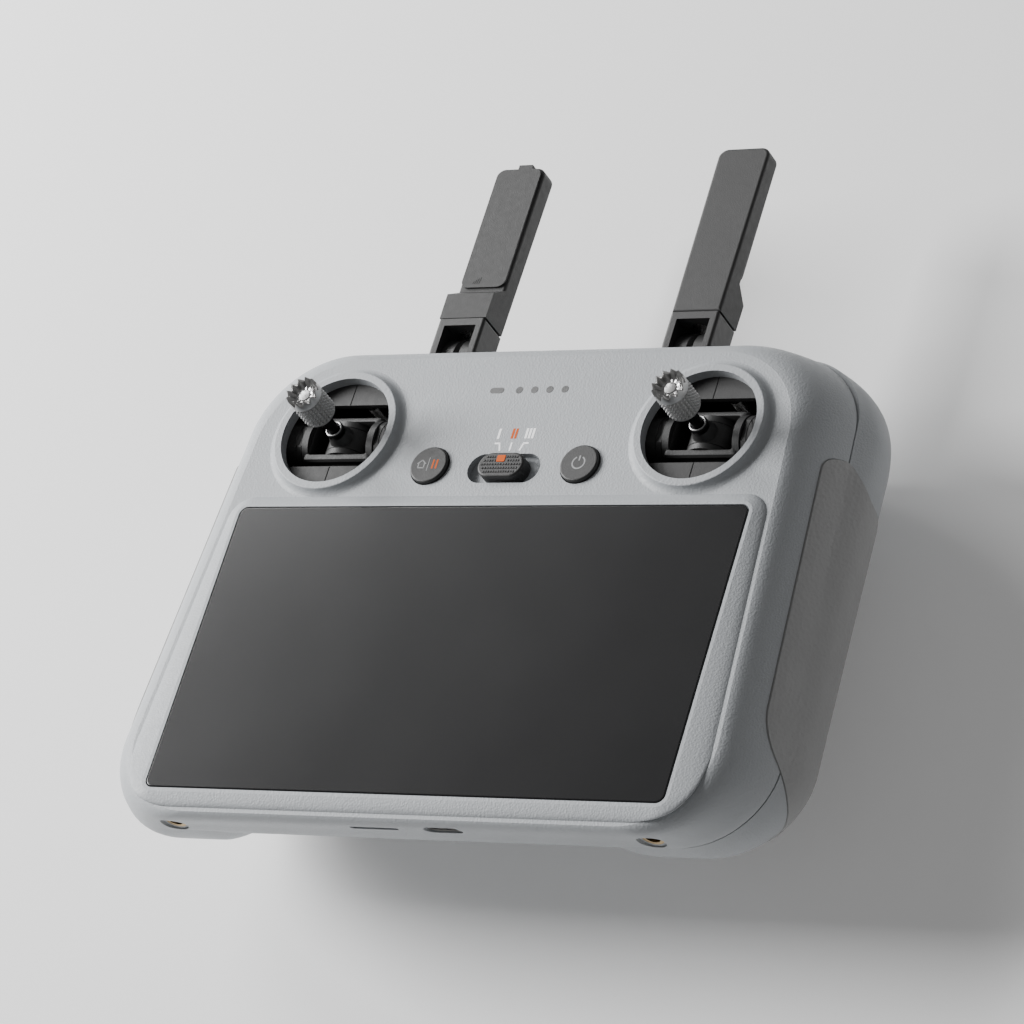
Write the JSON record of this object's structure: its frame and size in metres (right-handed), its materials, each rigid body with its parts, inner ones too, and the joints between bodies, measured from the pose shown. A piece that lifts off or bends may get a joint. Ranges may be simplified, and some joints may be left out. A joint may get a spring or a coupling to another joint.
{
  "type": "radio transmitter controller",
  "caption": "Handheld radio transmitter with a built-in touch screen, spring-centred sticks, folding swivel antennas, shoulder dials and rubber side grips.",
  "frame": {"origin": "centre of the bounding box, on the plane of the finger humps that it rests on", "axes": "+X to the holder's right, +Y towards the antennas, +Z out of the screen"},
  "size_m": [0.1688, 0.1769, 0.0628],
  "materials": {
    "housing": "fine moulded grain, light neutral grey",
    "grip_rubber": "fine grained soft rubber, dark grey",
    "screen_glass": "gloss black touch glass with a soft reflection",
    "black_foam": "matte",
    "display_back": "satin",
    "cast_frame": "as cast",
    "circuit_board": "green solder mask",
    "tinned_steel": "satin",
    "bare_aluminium": "satin",
    "black_plastic": "matte",
    "cell_wrap": "shrink wrap, satin",
    "button_plastic": "fine grained dark grey",
    "light_guide": "smoked, satin",
    "spring_steel": "polished",
    "trigger_plastic": "satin dark grey",
    "brass_insert": "bronze, worn",
    "screw_steel": "black oxide",
    "well_plastic": "fine grained dark grey",
    "cradle_plastic": "satin dark grey",
    "black_shaft": "black, satin",
    "knurled_aluminium": "knurled, satin",
    "hinge_plastic": "satin near-black",
    "antenna_plastic": "fine grained dark grey",
    "dial_metal": "satin dark grey"
  },
  "bodies": {
    "casing": {"front_shell": "housing", "rear_shell": "housing", "grip_pad_left": "grip_rubber", "grip_pad_right": "grip_rubber", "screen_glass": "screen_glass", "glass_adhesive": "black_foam", "display_module": "display_back", "mid_frame": "cast_frame", "main_board": "circuit_board", "shield_cans": "tinned_steel", "button_board": "circuit_board", "button_switches": "tinned_steel", "heat_sink": "bare_aluminium", "fan_frame": "black_plastic", "speaker": "black_plastic", "battery_cell_left": "cell_wrap", "battery_cell_right": "cell_wrap", "battery_troughs": "black_plastic", "mode_switch_body": "black_plastic", "status_light_guides": "light_guide", "gimbal_springs": "spring_steel", "gimbal_sensor_boards": "circuit_board", "hinge_pins": "spring_steel", "dial_axles": "spring_steel", "charging_socket": "tinned_steel", "card_socket": "tinned_steel", "lanyard_inserts": "brass_insert", "case_screws": "screw_steel", "gimbal_housing_left": "well_plastic", "hinge_bracket_left": "hinge_plastic", "gimbal_housing_right": "well_plastic", "hinge_bracket_right": "hinge_plastic"},
    "fan": {"fan_rotor": "black_plastic"},
    "return_button": {"return_button": "button_plastic"},
    "power_button": {"power_button": "button_plastic"},
    "mode_switch": {"mode_switch_knob": "button_plastic"},
    "record_button": {"record_button": "trigger_plastic"},
    "shutter_button": {"shutter_button": "trigger_plastic"},
    "cradle_left": {"gimbal_cradle_left": "cradle_plastic"},
    "stick_left": {"stick_hub_left": "cradle_plastic", "stick_shaft_left": "black_shaft", "stick_head_left": "knurled_aluminium"},
    "knuckle_left": {"antenna_knuckle_left": "hinge_plastic", "antenna_swivel_pin_left": "spring_steel"},
    "antenna_left": {"antenna_blade_left": "antenna_plastic", "antenna_cover_left": "antenna_plastic"},
    "dial_left": {"dial_left": "dial_metal"},
    "custom_button_left": {"custom_button_left": "trigger_plastic"},
    "cradle_right": {"gimbal_cradle_right": "cradle_plastic"},
    "stick_right": {"stick_hub_right": "cradle_plastic", "stick_shaft_right": "black_shaft", "stick_head_right": "knurled_aluminium"},
    "knuckle_right": {"antenna_knuckle_right": "hinge_plastic", "antenna_swivel_pin_right": "spring_steel"},
    "antenna_right": {"antenna_blade_right": "antenna_plastic", "antenna_cover_right": "antenna_plastic"},
    "dial_right": {"dial_right": "dial_metal"},
    "custom_button_right": {"custom_button_right": "trigger_plastic"}
  },
  "joints": [
    {"name": "fan_spin", "type": "hinge", "parent": "casing", "child": "fan", "pos_m": [0, -0.05125, 0.0352], "axis": [0, 0, 1], "continuous": true},
    {"name": "return_button_press", "type": "slide", "parent": "casing", "child": "return_button", "axis": [0, 0, -1], "range_m": [0, 0.0004], "stiffness_N_per_m": 600},
    {"name": "power_button_press", "type": "slide", "parent": "casing", "child": "power_button", "axis": [0, 0, -1], "range_m": [0, 0.0004], "stiffness_N_per_m": 600},
    {"name": "mode_switch_slide", "type": "slide", "parent": "casing", "child": "mode_switch", "axis": [1, 0, 0], "range_m": [-0.0024, 0.0024]},
    {"name": "record_button_press", "type": "slide", "parent": "casing", "child": "record_button", "axis": [0.5, -0.866, 0], "range_m": [0, 0.0008], "stiffness_N_per_m": 600},
    {"name": "shutter_button_press", "type": "slide", "parent": "casing", "child": "shutter_button", "axis": [-0.5, -0.866, 0], "range_m": [0, 0.0012], "stiffness_N_per_m": 600},
    {"name": "stick_pitch_left", "type": "hinge", "parent": "casing", "child": "cradle_left", "pos_m": [-0.0461, 0.00795, 0.0383], "axis": [1, 0, 0], "range_deg": [-20, 20], "stiffness_Nm_per_rad": 0.02},
    {"name": "stick_roll_left", "type": "hinge", "parent": "cradle_left", "child": "stick_left", "pos_m": [-0.0461, 0.00795, 0.0383], "axis": [0, 1, 0], "range_deg": [-20, 20], "stiffness_Nm_per_rad": 0.02},
    {"name": "antenna_fold_left", "type": "hinge", "parent": "casing", "child": "knuckle_left", "pos_m": [-0.03, 0.03605, 0.0286], "axis": [-1, 0, 0], "range_deg": [0, 180]},
    {"name": "antenna_swivel_left", "type": "hinge", "parent": "knuckle_left", "child": "antenna_left", "pos_m": [-0.03, 0.04405, 0.032], "axis": [0, -1, 0], "range_deg": [0, 180]},
    {"name": "dial_turn_left", "type": "hinge", "parent": "casing", "child": "dial_left", "pos_m": [-0.0524, 0.02635, 0.0274], "axis": [0, 0, 1], "range_deg": [-30, 30], "stiffness_Nm_per_rad": 0.003},
    {"name": "custom_button_press_left", "type": "slide", "parent": "casing", "child": "custom_button_left", "axis": [0, 0, 1], "range_m": [0, 0.0005], "stiffness_N_per_m": 600},
    {"name": "stick_pitch_right", "type": "hinge", "parent": "casing", "child": "cradle_right", "pos_m": [0.0461, 0.00795, 0.0383], "axis": [1, 0, 0], "range_deg": [-20, 20], "stiffness_Nm_per_rad": 0.02},
    {"name": "stick_roll_right", "type": "hinge", "parent": "cradle_right", "child": "stick_right", "pos_m": [0.0461, 0.00795, 0.0383], "axis": [0, 1, 0], "range_deg": [-20, 20], "stiffness_Nm_per_rad": 0.02},
    {"name": "antenna_fold_right", "type": "hinge", "parent": "casing", "child": "knuckle_right", "pos_m": [0.03, 0.03605, 0.0286], "axis": [-1, 0, 0], "range_deg": [0, 180]},
    {"name": "antenna_swivel_right", "type": "hinge", "parent": "knuckle_right", "child": "antenna_right", "pos_m": [0.03, 0.04405, 0.032], "axis": [0, 1, 0], "range_deg": [0, 180]},
    {"name": "dial_turn_right", "type": "hinge", "parent": "casing", "child": "dial_right", "pos_m": [0.0524, 0.02635, 0.0274], "axis": [0, 0, 1], "range_deg": [-30, 30], "stiffness_Nm_per_rad": 0.003},
    {"name": "custom_button_press_right", "type": "slide", "parent": "casing", "child": "custom_button_right", "axis": [0, 0, 1], "range_m": [0, 0.0005], "stiffness_N_per_m": 600}
  ]
}
